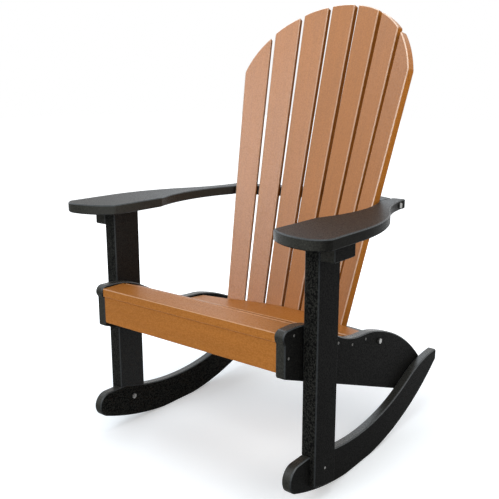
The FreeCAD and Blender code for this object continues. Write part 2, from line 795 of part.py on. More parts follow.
# Legs, with a rabbet that sits on the rocker and a lip that covers its outer face
for side, sign in SIDES:
    leg = new_body(f"leg_{side}")
    inner = sided(LEG_INNER, sign)
    outer = sided(LEG_OUTER, sign)
    depth = size("leg_depth")
    lip = size("leg_lip_rise")
    outline = Outline(sketch_on(leg, "YZ_Plane", inner), NOTHING, low_arc.below(NOTHING, lip))
    outline.arc(depth, low_arc.below(depth, lip), low_arc.radius - lip, 1)
    outline.line(depth, ARM_UNDER)
    outline.line(NOTHING, ARM_UNDER)
    solid = pad(leg, outline.close(), size("leg_thickness"), backward=sign < 0)
    names = rim_edges(solid, X_AXIS, (inner, outer))
    top_edges = edges_in_plane(solid.Shape, Z_AXIS * ARM_UNDER.number, Z_AXIS)
    ease_edges(leg, solid, [name for name in names if name not in top_edges])
    gap = size("seat_joint_gap")
    shoulder = nose_top + gap
    rabbet = Outline(sketch_on(leg, "YZ_Plane", inner), -CUT_MARGIN, shoulder)
    rabbet.line(flat_end(shoulder, gap), shoulder)
    rabbet_rear = depth + CUT_MARGIN
    rabbet.arc(rabbet_rear, waist_arc.below(rabbet_rear, gap), waist_arc.radius - gap, 1)
    rabbet.line(rabbet_rear, -CUT_MARGIN)
    rabbet.line(-CUT_MARGIN, -CUT_MARGIN)
    pocket(leg, rabbet.close(), size("rocker_thickness"), sign > 0)
    drill(leg, sized([LEG_SPOT], "rocker_bolt_shank"), outer, size("leg_thickness"), sign < 0)
    rail_depth = bolt_depth("leg_bolt_length", size("board_thickness"))
    drill(leg, sized(leg_bolt_spots, "bolt_shank"), inner, rail_depth, sign > 0)

# Side rails
for side, sign in SIDES:
    rail = new_body(f"side_rail_{side}")
    inner = sided(RAIL_INNER, sign)
    outer = sided(LEG_INNER, sign)
    sketch = rail_outline(sketch_on(rail, "YZ_Plane", inner))
    solid = pad(rail, sketch, size("board_thickness"), backward=sign < 0)
    ease_edges(rail, solid, rim_edges(solid, X_AXIS, (inner, outer)))
    spots = leg_bolt_spots + rocker_bolt_spots + [BRACE_SPOT]
    drill(rail, sized(spots, "bolt_shank"), inner, size("board_thickness"), sign > 0)


def arm_outline(sketch, sign):
    inner = LEG_INNER - size("arm_inner_reach")
    outer = ARM_OUTER
    bulb = size("arm_bulb_radius")
    inner_corner = -size("arm_corner_reach")
    outer_corner = -size("arm_outer_corner_reach")
    front = -size("arm_front_reach")
    bend_way = 1 if arm_bend.number > 0 else -1
    inner_span = outer - size("arm_apex_inset") - inner
    inner_rise = inner_corner - front
    outer_rise = outer_corner - front
    inset = size("arm_apex_inset")
    inner_round = (inner_span * inner_span + inner_rise * inner_rise) / (inner_rise * 2)
    outer_round = (inset * inset + outer_rise * outer_rise) / (outer_rise * 2)
    outline = Outline(sketch, sided(inner, sign), inner_corner)
    outline.line(sided(inner, sign), size("arm_scoop_start_y"))
    outline.arc(sided(TAIL_INNER, sign), scoop_end, size("arm_scoop_radius"), sign)
    outline.line(sided(TAIL_INNER, sign), TAIL_Y)
    outline.line(sided(TAIL_OUTER, sign), TAIL_Y)
    outline.line(sided(TAIL_OUTER, sign), tail_start)
    outline.arc(sided(join_across, sign), join_along, arm_bend * bend_way, bend_way * sign)
    outline.arc(sided(outer, sign), size("arm_bulb_y"), bulb, -sign)
    outline.line(sided(outer, sign), outer_corner)
    outline.arc(sided(outer - inset, sign), front, outer_round, -sign)
    return outline.close(inner_round, -sign)


# Arms
for side, sign in SIDES:
    arm = new_body(f"arm_{side}")
    sketch = arm_outline(sketch_on(arm, "XY_Plane", ARM_UNDER), sign)
    solid = pad(arm, sketch, size("board_thickness"))
    ease_edges(arm, solid, rim_edges(solid, Z_AXIS, (ARM_UNDER, size("arm_top_z"))))
    drill(arm, sized([ARM_SPOT], "bolt_shank"), sided(TAIL_OUTER, sign), size("arm_tail_width"), sign < 0)
    if arm_bend.number > 0:
        # The bolt's head sits on a flat face cut into the hollow side of the tail.
        spot_face = sized([ARM_SPOT], "spot_face_width")
        drill(arm, spot_face, sided(TAIL_OUTER, sign), size("spot_face_depth"), sign > 0)

# Blocks between the legs' outer faces and the arms
for side, sign in SIDES:
    block = new_body(f"arm_block_{side}")
    low = ARM_UNDER - size("block_height")
    outline = Outline(sketch_on(block, "YZ_Plane", sided(LEG_OUTER, sign)), NOTHING, low)
    outline.line(size("leg_depth"), low)
    outline.line(size("leg_depth"), ARM_UNDER)
    outline.line(NOTHING, ARM_UNDER)
    solid = pad(block, outline.close(), size("block_width"), backward=sign < 0)
    ease_edges(block, solid, [f"Edge{index}" for index in range(1, len(solid.Shape.Edges) + 1)])


def board(label, width, thickness, along, up, slope):
    """A straight board between the rails, held by the middle of its top face."""
    body = new_body(label)
    outline = Outline(sketch_on(body, "YZ_Plane", NOTHING), -width / 2, -thickness)
    outline.line(width / 2, -thickness)
    outline.line(width / 2, NOTHING)
    outline.line(-width / 2, NOTHING)
    solid = pad(body, outline.close(), RAIL_INNER * 2, both=True)
    names = []
    for index, edge in enumerate(solid.Shape.Edges, start=1):
        if edge.BoundBox.XLength > RAIL_INNER.number:
            names.append(f"Edge{index}")
    round_edges(body, solid, names)
    place(body, NOTHING, along, up, turn_about("x", slope))


# Seat
front_width = size("front_slat_width")
front_along = front_width / 2 - size("front_slat_reach")
board("seat_front_slat", front_width, slat_thick, front_along, front_top, NOTHING)
for number, spot in enumerate(seat_spots, start=2):
    board(f"seat_slat_{number}", size("seat_slat_width"), slat_thick, *spot)

# The apron hangs under the front slat, a little behind the front faces of the rails.
apron = new_body("front_apron")
apron_face = size("apron_recess") - size("rail_face_reach")
apron_top = front_top - slat_thick
outline = Outline(sketch_on(apron, "YZ_Plane", NOTHING), apron_face, apron_top - size("apron_height"))
outline.line(apron_face + slat_thick, apron_top - size("apron_height"))
outline.line(apron_face + slat_thick, apron_top)
outline.line(apron_face, apron_top)
solid = pad(apron, outline.close(), RAIL_INNER * 2, both=True)
round_edges(apron, solid, [
    f"Edge{index}" for index, edge in enumerate(solid.Shape.Edges, start=1)
    if edge.BoundBox.XLength > RAIL_INNER.number
])


def tilted_sketch(body, along, up, tilt):
    """A sketch level from side to side that falls toward the rear."""
    sketch = sketch_on(body, "XY_Plane", NOTHING)
    spot = f"vector(0; {along.formula}; {up.formula})"
    sketch.setExpression("AttachmentOffset", f"placement({spot}; rotationx({(-tilt).formula}))")
    return sketch


def ease_tilted_rims(body, feature, along, up, tilt, levels):
    """Ease the rims of a board that falls toward the rear."""
    lean = math.radians(tilt.number)
    normal = Vector(0, math.sin(lean), math.cos(lean))
    start = Vector(0, along.number, up.number)
    return ease_edges(body, feature, rim_edges(feature, normal, levels, start))


def clear_slats(body, whole=False):
    """Cut the room that the fan of slats takes, a sector of the shell between two upright cones.

    Where the room is whole, the sector reaches in to the axis.
    """
    low = size("cone_low_z") - size("slat_foot") - size("brace_depth")
    high = size("arm_top_z") + size("slat_foot")
    front = size("slat_front_clearance")
    sketch = sketch_on(body, "YZ_Plane", NOTHING)
    bind(sketch, "AttachmentOffset.Base.x", CONE_Y)
    outline = Outline(sketch, NOTHING if whole else cone_radius(low) - front, low)
    outline.line(rear_radius(low), low)
    outline.line(rear_radius(high), high)
    outline.line(NOTHING if whole else cone_radius(high) - front, high)
    before = body.Shape.Volume
    groove = body.newObject("PartDesign::Groove", "SlatRoom")
    groove.Profile = outline.close()
    groove.ReferenceAxis = (sketch, ["V_Axis"])
    groove.Midplane = True
    bind(groove, "Angle", slat_sector * 2)
    doc.recompute()
    assert body.Shape.Volume < before, body.Label


# The rear board of the seat closes the seat against the slats and ends in two wings at the rails.
rear_board = new_body("seat_rear_board")
wing_fall = corner_fall - size("rear_board_wing_drop")
outline = Outline(tilted_sketch(rear_board, board_along, board_up, board_tilt), -RAIL_INNER, NOTHING)
outline.line(RAIL_INNER, NOTHING)
outline.line(RAIL_INNER, wing_fall)
outline.line(corner_across, corner_fall)
outline.arc(-corner_across, corner_fall, corner_radius, 1)
outline.line(-RAIL_INNER, wing_fall)
solid = pad(rear_board, outline.close(), slat_thick, backward=True)
ease_tilted_rims(rear_board, solid, board_along, board_up, board_tilt, (NOTHING, -slat_thick))
clear_slats(rear_board)

# The upper brace joins the arms' tails behind the slats.
arm_brace = new_body("arm_brace")
blank_front = brace_front - size("blank_overlap")
front_corner = CONE_Y + circle_reach(blank_front, TAIL_INNER)
back_corner = CONE_Y + circle_reach(brace_back, TAIL_INNER)
outline = Outline(sketch_on(arm_brace, "XY_Plane", ARM_UNDER), -TAIL_INNER, front_corner)
outline.arc(TAIL_INNER, front_corner, blank_front, -1)
outline.line(TAIL_INNER, back_corner)
outline.arc(-TAIL_INNER, back_corner, brace_back, 1)
solid = pad(arm_brace, outline.close(), size("board_thickness"))
ease_edges(arm_brace, solid, rim_edges(solid, Z_AXIS, (ARM_UNDER, size("arm_top_z"))))
clear_slats(arm_brace, whole=True)
arm_bolt_depth = bolt_depth("arm_bolt_length", size("arm_tail_width"))
for side, sign in SIDES:
    drill(arm_brace, sized([ARM_SPOT], "bolt_shank"), sided(TAIL_INNER, sign), arm_bolt_depth, sign < 0)

# The lower brace is bolted between the rails and carries the feet of the slats.
low_brace = new_body("lower_back_brace")
brace_tilt = size("low_brace_tilt")
brace_edge = -size("bolt_edge")
brace_end = size("low_brace_end") - size("bolt_edge")
brace_apex = (CONE_Y + low_brace_front + size("brace_depth") - LOW_BRACE_Y) / cosine(brace_tilt)
sweep = brace_apex - brace_end
sweep_radius = (RAIL_INNER * RAIL_INNER + sweep * sweep) / (sweep * 2)
outline = Outline(tilted_sketch(low_brace, *BRACE_SPOT, brace_tilt), -RAIL_INNER, brace_edge)
outline.line(RAIL_INNER, brace_edge)
outline.line(RAIL_INNER, brace_end)
outline.arc(-RAIL_INNER, brace_end, sweep_radius, 1)
solid = pad(low_brace, outline.close(), slat_thick, both=True)
ease_tilted_rims(low_brace, solid, *BRACE_SPOT, brace_tilt, (slat_thick / 2, -slat_thick / 2))
clear_slats(low_brace, whole=True)
brace_bolt_depth = bolt_depth("brace_bolt_length", size("board_thickness"))
for side, sign in SIDES:
    drill(low_brace, sized([BRACE_SPOT], "bolt_shank"), sided(RAIL_INNER, sign), brace_bolt_depth, sign < 0)


# Slats of the back, from the left one to the right one
for number, facts in enumerate(back_slats, start=1):
    left_rise, right_rise, across, along, facing, lean, fan = facts
    slat = new_body(f"back_slat_{number}")
    low = -size("slat_foot")
    outline = Outline(sketch_on(slat, "XZ_Plane", NOTHING), -half_slat(low), low)
    outline.line(half_slat(low), low)
    outline.line(half_slat(right_rise), right_rise)
    outline.arc(-half_slat(left_rise), left_rise, arch_radius, 1)
    solid = pad(slat, outline.close(), slat_thick, backward=True)
    ease_edges(slat, solid, rim_edges(solid, Y_AXIS, (NOTHING, slat_thick)))
    turns = " * ".join((turn_about("z", -facing), turn_about("x", -lean), turn_about("y", fan)))
    place(slat, across, along, size("cone_low_z"), turns)


def primitive(kind, label, **sizes_of):
    item = doc.addObject(kind, label)
    for path, value in sizes_of.items():
        bind(item, path, as_size(value))
    return item


def joined(kind, label, base, tool):
    item = doc.addObject(kind, label)
    item.Base = base
    item.Tool = tool
    return item


def hexagon(label, height):
    """A hexagonal prism, as a bolt's head or a nut."""
    corner_reach = size("bolt_head") / (cosine(RIGHT_ANGLE / 3) * 2)
    prism = primitive("Part::Prism", label + "_hexagon", Circumradius=corner_reach, Height=height)
    prism.Polygon = 6
    return prism


def head_turn(sign):
    """Turn a fastener's own axis to +X or to -X."""
    return turn_about("y", RIGHT_ANGLE * sign)


def bolt(label, face, way, spot, length):
    shank = primitive("Part::Cylinder", label + "_shank", Radius=size("bolt_shank") / 2, Height=size(length))
    bind(shank, "Placement.Base.z", -size(length))
    item = joined("Part::Fuse", label, hexagon(label, size("bolt_head_height")), shank)
    place(item, face, *spot, head_turn(way))
    nodes.append(item)


# Bolts, and the nutted bolt through each rocker
for side, sign in SIDES:
    rail_face = sided(RAIL_INNER, sign)
    leg_face = sided(LEG_INNER, sign)
    groups = (
        ("leg_rail", rail_face, -sign, leg_bolt_spots, "leg_bolt_length"),
        ("rocker_rail", rail_face, -sign, rocker_bolt_spots, "rocker_bolt_length"),
        ("lower_brace", leg_face, sign, [BRACE_SPOT], "brace_bolt_length"),
        ("arm_tail", sided(TAIL_OUTER, sign), sign, [ARM_SPOT], "arm_bolt_length"),
    )
    for name, face, way, spots, length in groups:
        for number, spot in enumerate(spots, start=1):
            ending = f"{side}_{number}" if len(spots) > 1 else side
            bolt(f"{name}_bolt_{ending}", face, way, spot, length)
    nut_hole = primitive("Part::Cylinder", f"nut_hole_{side}", Height=size("nut_height"),
                         Radius=size("rocker_bolt_shank") / 2 + size("hole_clearance"))
    nut = joined("Part::Cut", f"rocker_nut_{side}", hexagon(f"nut_{side}", size("nut_height")), nut_hole)
    place(nut, leg_face, *LEG_SPOT, head_turn(-sign))
    nodes.append(nut)
    stud_length = size("leg_thickness") + size("nut_height") + size("stud_end")
    stud = primitive("Part::Cylinder", f"rocker_bolt_{side}", Radius=size("rocker_bolt_shank") / 2,
                     Height=stud_length)
    place(stud, sided(LEG_OUTER, sign), *LEG_SPOT, head_turn(-sign))
    nodes.append(stud)

doc.recompute()
for item in doc.Objects:
    faults = {"Invalid", "Error"} & set(item.State)
    assert not faults, f"{item.Label}: {item.State}"
labels = [node.Label for node in nodes]
assert len(set(labels)) == len(labels), "a label is used twice"
for node in nodes:
    assert not node.Shape.isNull() and node.Shape.isValid(), node.Label
    assert len(node.Shape.Solids) == 1, node.Label

os.makedirs("parts", exist_ok=True)
for node in nodes:
    node.Shape.exportStep(f"parts/{node.Label}.step")
print(len(nodes), "pieces")
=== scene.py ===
# %% [markdown]
# # A rocking chair in plastic lumber
#
# The chair is a fan-backed garden rocker. Orange-brown boards make the seat and the back, black boards
# make the frame, and stainless bolts and screws hold them. The boards and bolts come from a CAD model,
# true to size. This lesson gives them their finishes, adds the small fasteners, and sets up the light,
# the floor and the camera. Each step starts with a few words on the real thing and on the choice made.

# %% Load the boards and bolts
import math
import random

import bmesh
import bpy
from mathutils import Matrix, Vector


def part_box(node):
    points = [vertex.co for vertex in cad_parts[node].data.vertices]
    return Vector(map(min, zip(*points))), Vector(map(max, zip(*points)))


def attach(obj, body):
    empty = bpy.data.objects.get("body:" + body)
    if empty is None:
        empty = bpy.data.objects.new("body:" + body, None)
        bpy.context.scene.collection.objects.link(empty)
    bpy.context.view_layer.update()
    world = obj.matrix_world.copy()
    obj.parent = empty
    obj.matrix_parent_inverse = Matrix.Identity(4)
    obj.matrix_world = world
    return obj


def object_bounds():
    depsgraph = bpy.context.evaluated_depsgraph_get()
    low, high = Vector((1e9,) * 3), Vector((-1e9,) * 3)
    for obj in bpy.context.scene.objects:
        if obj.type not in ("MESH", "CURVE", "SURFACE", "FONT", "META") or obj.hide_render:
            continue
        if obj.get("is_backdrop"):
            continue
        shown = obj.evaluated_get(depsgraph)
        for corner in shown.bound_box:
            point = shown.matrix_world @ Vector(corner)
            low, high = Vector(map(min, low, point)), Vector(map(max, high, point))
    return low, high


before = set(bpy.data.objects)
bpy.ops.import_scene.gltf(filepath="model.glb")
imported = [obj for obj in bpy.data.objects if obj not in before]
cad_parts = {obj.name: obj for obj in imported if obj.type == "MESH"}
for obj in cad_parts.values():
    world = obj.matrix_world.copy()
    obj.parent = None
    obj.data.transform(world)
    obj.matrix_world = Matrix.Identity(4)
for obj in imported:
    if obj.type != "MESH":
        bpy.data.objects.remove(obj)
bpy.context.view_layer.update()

# %% [markdown]
# ## The camera
#
# The picture is taken from the sitter's left front, a little above the arms. A lens of about 51 mm on a
# 36 mm frame keeps the rockers from looking stretched. The camera is placed first, because every finish
# is judged through it. Its turn is given in the usual order: up from straight down, then about the
# upright axis.

# %% Place the camera
LENS = 50.9
CAMERA_PLACE = (1.1032, -1.5123, 0.9215)
CAMERA_DOWN = 12.74
CAMERA_ROUND = 38.02

bpy.ops.object.camera_add(
    location=CAMERA_PLACE, rotation=(math.radians(90 - CAMERA_DOWN), 0, math.radians(CAMERA_ROUND))
)
camera = bpy.context.object
camera.name = "camera"
camera.data.lens = LENS
camera.data.sensor_width = 36
bpy.context.scene.camera = camera
print("camera", round(Vector(CAMERA_PLACE).length, 2), "m from the chair's foot")

# %% [markdown]
# ## Writing node trees as sums
#
# A finish in Blender is a tree of nodes, and a tree that is built link by link is hard to read. So two
# small classes come first. A Signal is one output of a node, and Python's own signs work on it, so that
# "1 - worn" adds the right Math node by itself. A Tree adds any other node in one call: its kind, its
# settings, and what goes into its sockets.


# %% Define the two helpers for node trees
class Signal:
    """One output of a node, which can be added, subtracted, multiplied and divided."""

    def __init__(self, tree, socket):
        self.tree = tree
        self.socket = socket

    def maths(self, operation, *terms):
        return self.tree.add("Math", {"operation": operation}, dict(enumerate(terms)))

    def __add__(self, other):
        return self.maths("ADD", self, other)

    def __radd__(self, other):
        return self.maths("ADD", other, self)

    def __sub__(self, other):
        return self.maths("SUBTRACT", self, other)

    def __rsub__(self, other):
        return self.maths("SUBTRACT", other, self)

    def __mul__(self, other):
        return self.maths("MULTIPLY", self, other)

    def __rmul__(self, other):
        return self.maths("MULTIPLY", other, self)

    def __abs__(self):
        return self.maths("ABSOLUTE", self)

    def above(self, low, high):
        """Nothing up to the low value, one from the high value on, and an even slope between."""
        limits = {"From Min": low, "From Max": high}
        return self.tree.add("MapRange", {"clamp": True}, {"Value": self, **limits})


class Tree:
    """A material's or the world's node tree, filled by one call for each node."""

    def __init__(self, owner):
        owner.use_nodes = True
        self.tree = owner.node_tree
        self.tree.nodes.clear()

    def add(self, kind, settings=None, inputs=None, output=0):
        node = self.tree.nodes.new("ShaderNode" + kind)
        for name, value in (settings or {}).items():
            setattr(node, name, value)
        for name, value in (inputs or {}).items():
            if isinstance(value, Signal):
                self.tree.links.new(value.socket, node.inputs[name])
            else:
                node.inputs[name].default_value = value
        return Signal(self, node.outputs[output] if node.outputs else None)

    def looked_at(self):
        """One for what the camera sees, straight or mirrored, and nothing for what lights a surface."""
        kinds = ("Camera", "Glossy", "Transmission")
        rays = [self.add("LightPath", output=f"Is {kind} Ray") for kind in kinds]
        return rays[0] + rays[1] + rays[2]

    def blend(self, share, first, second):
        """Two colours mixed, where share is how much of the second one shows."""
        first, second = [c if isinstance(c, Signal) else (*c, 1) for c in (first, second)]
        return self.add("Mix", {"data_type": "RGBA"}, {0: share, 6: first, 7: second}, output=2)

    def dot(self, first, second):
        """How far two directions agree, from minus one to one."""
        terms = {0: first, 1: second}
        return self.add("VectorMath", {"operation": "DOT_PRODUCT"}, terms, output="Value")

    def noise(self, place, sizes, detail, roughness=0.5):
        """A cloudy pattern whose grains are as long as the sizes, in metres, on the three axes."""
        stretch = [1 / value for value in sizes]
        spread = self.add("VectorMath", {"operation": "MULTIPLY"}, {0: place, 1: stretch})
        grains = {"Vector": spread, "Scale": 1, "Detail": detail, "Roughness": roughness}
        return self.add("TexNoise", {}, grains)


print("helpers ready")

# %% [markdown]
# ## Floor and light
#
# The chair stands on a plain pale floor under soft light, as if for a catalogue. The floor is one large
# sheet of matt white. What the camera and the steel see of it gets some light of its own: little round
# the chair, so that the soft shadow stays, and more further out, so that the far edge fades into the
# white behind it. The world shines an even pale light on everything, and looks plain white itself.

# %% Lay the floor
FLOOR_SIDE = 40
FLOOR_DROP = 0.0005
FLOOR_WHITE = (0.86, 0.86, 0.86)
NEAR_GLOW = 0.35
SHADOW_REACH = 0.5
WHITE_REACH = 1.7

bpy.ops.object.select_all(action="DESELECT")
bpy.ops.mesh.primitive_plane_add(size=FLOOR_SIDE, location=(0, 0, -FLOOR_DROP))
floor = bpy.context.object
floor.name = "floor"
floor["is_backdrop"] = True

floor_finish = bpy.data.materials.new("matt_white_floor")
tree = Tree(floor_finish)
matt = tree.add("BsdfDiffuse", {}, {"Color": (*FLOOR_WHITE, 1)})
seen = tree.looked_at()
spot = tree.add("TexCoord", output="Object")
away = tree.add("VectorMath", {"operation": "LENGTH"}, {0: spot}, output="Value")
level = NEAR_GLOW + away.above(SHADOW_REACH, WHITE_REACH) * (1 - NEAR_GLOW)
glow = tree.add("Emission", {}, {"Strength": seen * level})
tree.add("OutputMaterial", {}, {"Surface": tree.add("AddShader", {}, {0: matt, 1: glow})})
floor.data.materials.append(floor_finish)

# %% Set the world's light
WORLD_COLOUR = (0.86, 0.93, 1.0)
WORLD_LEVEL = 0.3

world = bpy.data.worlds.new("soft_daylight")
bpy.context.scene.world = world
tree = Tree(world)
light = tree.add("Background", {}, {"Color": (*WORLD_COLOUR, 1), "Strength": WORLD_LEVEL})
white = tree.add("Background", {}, {"Color": (1, 1, 1, 1), "Strength": 1})
shine = tree.add("MixShader", {}, {0: tree.looked_at(), 1: light, 2: white})
tree.add("OutputWorld", {}, {"Surface": shine})
print("floor and world done")

# %% [markdown]
# ## Five soft lamps
#
# Out of doors the sky does this work: it is broad and cool, and it comes from above and in front. A wide
# cool lamp in front of the chair gives the upper ends of the back slats their pale sheen, and one
# overhead models the arms and the seat. Weaker ones on the left, the right and behind pick out the edges
# of the black boards. They are area lamps, because only a broad source gives a soft edge to a shadow.

# %% Hang the lamps
# Name, place, what it is aimed at, side in metres, watts and colour.
LAMPS = (
    ("front_lamp", (0.15, -2.7, 2.1), (0, 0, 0.8), 1.9, 62, (0.88, 0.95, 1.0)),
    ("left_lamp", (-2.6, -0.2, 2.4), (0, 0, 0.7), 1.6, 10, (0.8, 0.9, 1.0)),
    ("right_lamp", (2.6, 0.3, 1.6), (0, 0, 0.6), 1.8, 28, (1.0, 0.98, 0.95)),
    ("back_lamp", (-1.2, 1.8, 2.2), (0, 0, 0.6), 1.8, 22, (0.8, 0.9, 1.0)),
    ("overhead_lamp", (0.2, -0.2, 3.2), (0, 0, 0.5), 2.2, 36, (0.92, 0.97, 1.0)),
)
for name, spot, target, side, watts, colour in LAMPS:
    aim = (Vector(target) - Vector(spot)).to_track_quat("-Z", "Y").to_euler()
    bpy.ops.object.light_add(type="AREA", location=spot, rotation=aim)
    lamp = bpy.context.object
    lamp.name = name
    lamp.data.size = side
    lamp.data.energy = watts
    lamp.data.color = colour
bpy.context.scene.view_settings.view_transform = "Standard"
print(len(LAMPS), "lamps")

# %% [markdown]
# ## Which way each board runs
#
# Plastic lumber is drawn through a die, so its grain runs along the board. To follow it, a finish needs
# to know each board's own direction. The frame's boards and the seat's lie along one axis of the room.
# The slats of the back lean and fan out, so theirs is measured: it is the mean direction of the long
# edges of the slat.


# %% Measure the run and the flat face of each board
LONG_EDGE_SHARE = 0.8


def slat_directions(node):
    """The mean direction of a slat's long edges, and the normal of its largest faces."""
    points = [vertex.co for vertex in node.data.vertices]
    edges = [points[edge.vertices[1]] - points[edge.vertices[0]] for edge in node.data.edges]
    longest = max(edge.length for edge in edges)
    run = Vector()
    for edge in edges:
        if edge.length > LONG_EDGE_SHARE * longest:
            run += edge if edge.z > 0 else -edge
    largest = max(node.data.polygons, key=lambda polygon: polygon.area)
    return run.normalized(), largest.normal.copy()


ALONG_X = Vector((1, 0, 0))
ALONG_Y = Vector((0, 1, 0))
ALONG_Z = Vector((0, 0, 1))
DIRECTIONS = {
    "seat": (ALONG_X, ALONG_Z), "front": (ALONG_X, ALONG_Y), "lower": (ALONG_X, ALONG_Z),
    "arm": (ALONG_Y, ALONG_Z), "leg": (ALONG_Z, ALONG_X), "side": (ALONG_Y, ALONG_X),
    "rocker": (ALONG_Y, ALONG_X),
}
FASTENERS = ("bolt", "nut")


def board_directions(name, node):
    if name.startswith("back_slat"):
        return slat_directions(node)
    if name == "arm_brace":
        return ALONG_X, ALONG_Z
    if "block" in name:
        return ALONG_Y, ALONG_X
    return DIRECTIONS[name.split("_")[0]]


boards = {
    name: board_directions(name, node) for name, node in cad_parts.items()
    if not any(word in name for word in FASTENERS)
}
for name, ways in boards.items():
    run, face = [tuple(round(part, 2) for part in way) for way in ways]
    print(name, "runs along", run, "and faces", face)

# %% [markdown]
# ## The plastic lumber
#
# The boards are polythene with the colour mixed right through, so there is no paint to chip. Their faces
# are embossed with a fine grain, like leather drawn out lengthwise, and they have a satin gloss. Small
# pale flecks are painted on the grain's high points: partly the plastic's speckle, partly painted glints
# where they catch the light. They show most on the black. Sawn ends are painted paler, a painted sheen,
# and so are the edges that look up, partly rubbed and partly a painted highlight. All of this is worked
# out in the board's own directions, so that a slat that leans has leaning grain.
#
# Some sides mirror more than others: those that look up, the inner sides of legs, arms and arm blocks,
# the slats' fronts and, a little, the fronts of the seat's boards. So each board is told the ways that
# its polished sides look.


# %% Define the lumber finish
# Sizes in metres, the one along the board first.
GRAIN = (0.011, 0.0045, 0.0045)
STREAK = (0.2, 0.008, 0.008)
CLOUD = (0.3, 0.1, 0.1)
FLECK_STRETCH = 0.74
EDGE_RADIUS = 0.0018
GRAIN_DEPTH = 0.0007
TONE_STEP = 0.09
MATT_MIRROR = 0.008


def lumber(name, node, run, face, polished_ways, outward, body_colour, fleck_and_glint_colour, sawn_sheen_colour,
           edge_wear_and_highlight_colour, fleck_and_glint_share, fleck_size, gloss, mirror, sawn_to_shape=False):
    """A finish for one board. The grain follows its run, sides that look along a polished way mirror more,
    and the side that looks outward is painted darker, a painted shade with fewer flecks."""
    low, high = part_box(node.name)
    turn = Matrix((run, face.cross(run), face)).transposed().to_euler()
    finish = bpy.data.materials.new(name)
    tree = Tree(finish)
    spot = tree.add("TexCoord", output="Object")
    own = tree.add("Mapping", {"vector_type": "TEXTURE"},
                   {"Vector": spot, "Location": (low + high) / 2 + chance_shift(), "Rotation": turn})

    grain = tree.noise(own, GRAIN, detail=2, roughness=0.6)
    packing = (FLECK_STRETCH / fleck_size, 1 / fleck_size, 1 / fleck_size)
    cells = tree.add("VectorMath", {"operation": "MULTIPLY"}, {0: own, 1: packing})
    specks = 1 - tree.add("TexVoronoi", {}, {"Vector": cells, "Scale": 1}, output="Distance")
    streaks = tree.noise(own, STREAK, detail=2)
    clouds = tree.noise(own, CLOUD, detail=2)

    # A board that is sawn to an outline is sawn on every side but its two faces, a plain one on its ends.
    facing = tree.add("NewGeometry", output="True Normal")
    flat = abs(tree.dot(facing, face))
    sawn = (1 - flat if sawn_to_shape else abs(tree.dot(facing, run))).above(0.6, 0.9)
    polished = sum(tree.dot(facing, way).above(0.15, 0.6) for way in polished_ways).above(0, 1)
    # Painted shade: the side that looks outward gets fewer pale flecks and less of the paler sawn colour.
    outward_shade = tree.dot(facing, outward).above(0.3, 0.8)

    # The eased edges look half way between face and side. An edge without one is found by rounding it.
    # Edges that look up are painted paler, partly as rubbing by hands and cloth and partly as a painted
    # highlight where they catch the light; those that look down stay as they are.
    rounded = tree.add("Bevel", {"samples": 4}, {"Radius": EDGE_RADIUS})
    eased = (flat * (1 - flat)).above(0.08, 0.18)
    arris = (1 - tree.dot(rounded, facing)).above(0.01, 0.2)
    rubbed_and_highlit = (eased + arris).above(0, 1) * tree.dot(rounded, ALONG_Z).above(-0.5, 0.6)

    # Painted glints: pale flecks on the grain's high points, partly the plastic's own speckle. Polished
    # sides get fewer, and so does the side that looks outward, which is a painted shade.
    glint_specks = (specks * 0.6 + grain * 0.4).above(0.38, 0.8)
    glint_specks = glint_specks * (1 - 0.5 * polished) * (1 - 0.75 * outward_shade)
    tone = (streaks * 0.25 + clouds * 0.3 + grain * 0.2 + specks * 0.25).above(0.4, 0.6)
    darker = tuple((1 - TONE_STEP) * part for part in body_colour)
    lighter = tuple((1 + TONE_STEP) * part for part in body_colour)
    colour = tree.blend(tone, darker, lighter)
    # Sawn faces are painted paler, which is a painted sheen. The side that looks outward gets less of it,
    # which is a painted shade.
    colour = tree.blend(sawn * (0.4 + 0.4 * grain) * (1 - 0.8 * outward_shade), colour, sawn_sheen_colour)
    colour = tree.blend(glint_specks * fleck_and_glint_share, colour, fleck_and_glint_colour)
    # Eased edges that look up are painted paler: partly rubbing, partly a painted highlight.
    colour = tree.blend(rubbed_and_highlit * (0.4 + 0.5 * grain), colour, edge_wear_and_highlight_colour)

    height = grain * 0.35 + specks * 0.65
    bump = tree.add("Bump", {}, {
        "Strength": 0.6, "Distance": GRAIN_DEPTH, "Height": height, "Normal": rounded,
    })
    shine = gloss + (0.5 - specks) * 0.2 - rubbed_and_highlit * 0.14 - sawn * 0.12
    looks = {"Base Color": colour, "Roughness": shine, "Normal": bump}
    matt = tree.add("BsdfPrincipled", {}, looks | {"Specular IOR Level": MATT_MIRROR})
    bright = tree.add("BsdfPrincipled", {}, looks | {"Specular IOR Level": mirror})
    surface = tree.add("MixShader", {}, {0: (polished + rubbed_and_highlit * 0.5).above(0, 1), 1: matt, 2: bright})
    tree.add("OutputMaterial", {}, {"Surface": surface})
    return finish


dice = random.Random(7)


def chance_shift():
    """A step to another part of the pattern, so that no two boards are alike."""
    return Vector([dice.uniform(-1, 1) for _ in range(3)])


def paint(node, finish):
    node.data.materials.clear()
    node.data.materials.append(finish)


# %% Give each board its finish
# The fleck colour is partly the plastic's speckle and partly painted glints. The sawn colour is a painted
# sheen. The edge colour is partly rubbing and partly a painted highlight.
CEDAR = {"body_colour": (0.345, 0.118, 0.018), "fleck_and_glint_colour": (0.5, 0.21, 0.06),
         "sawn_sheen_colour": (0.5, 0.28, 0.15), "edge_wear_and_highlight_colour": (0.62, 0.38, 0.24),
         "fleck_and_glint_share": 0.3, "fleck_size": 0.0034, "gloss": 0.44, "mirror": 0.25}
# The back's slats get much paler edges, a painted highlight where their eased edges catch the front light.
BACK = CEDAR | {"mirror": 0.85, "edge_wear_and_highlight_colour": (0.8, 0.56, 0.4)}
